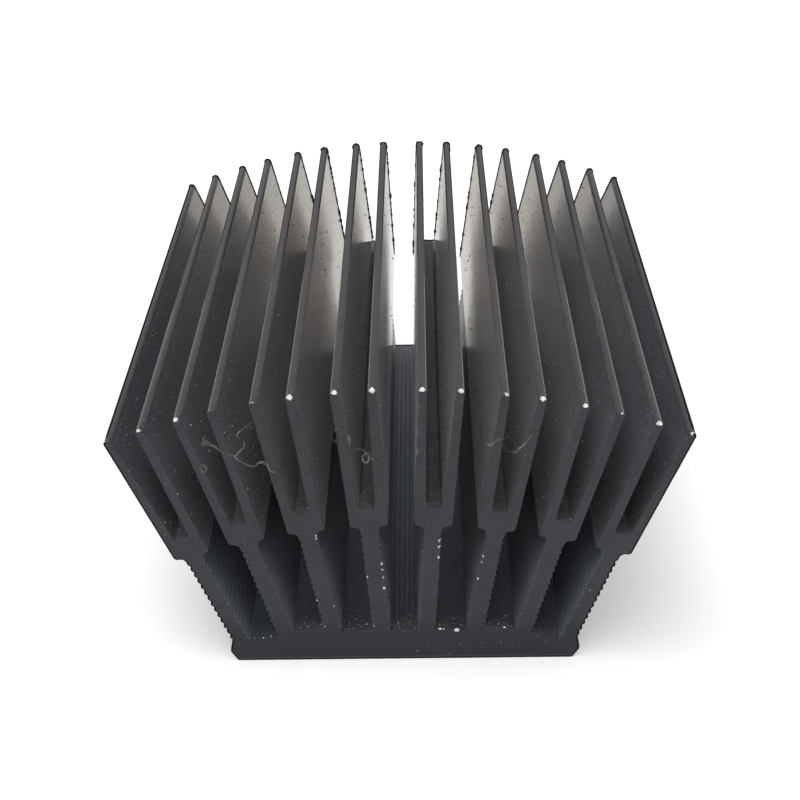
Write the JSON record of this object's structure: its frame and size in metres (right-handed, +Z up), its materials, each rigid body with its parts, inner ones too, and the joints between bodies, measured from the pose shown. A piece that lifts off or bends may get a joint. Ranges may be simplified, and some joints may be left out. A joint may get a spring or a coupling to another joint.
{
  "type": "heat sink",
  "caption": "Black anodised aluminium heat sink: an extrusion with a flat base, ribbed stems that fan out into forked fins and an arched crown of fin tips, sawn square to length.",
  "frame": {"origin": "centre of the flat underside", "axes": "+Z up towards the fin tips, +Y along the extrusion, +X across the fins"},
  "size_m": [0.07, 0.07, 0.044],
  "materials": {
    "black_anodised": "satin black anodised"
  },
  "bodies": {
    "root": {"heat_sink": "black_anodised"}
  },
  "joints": []
}
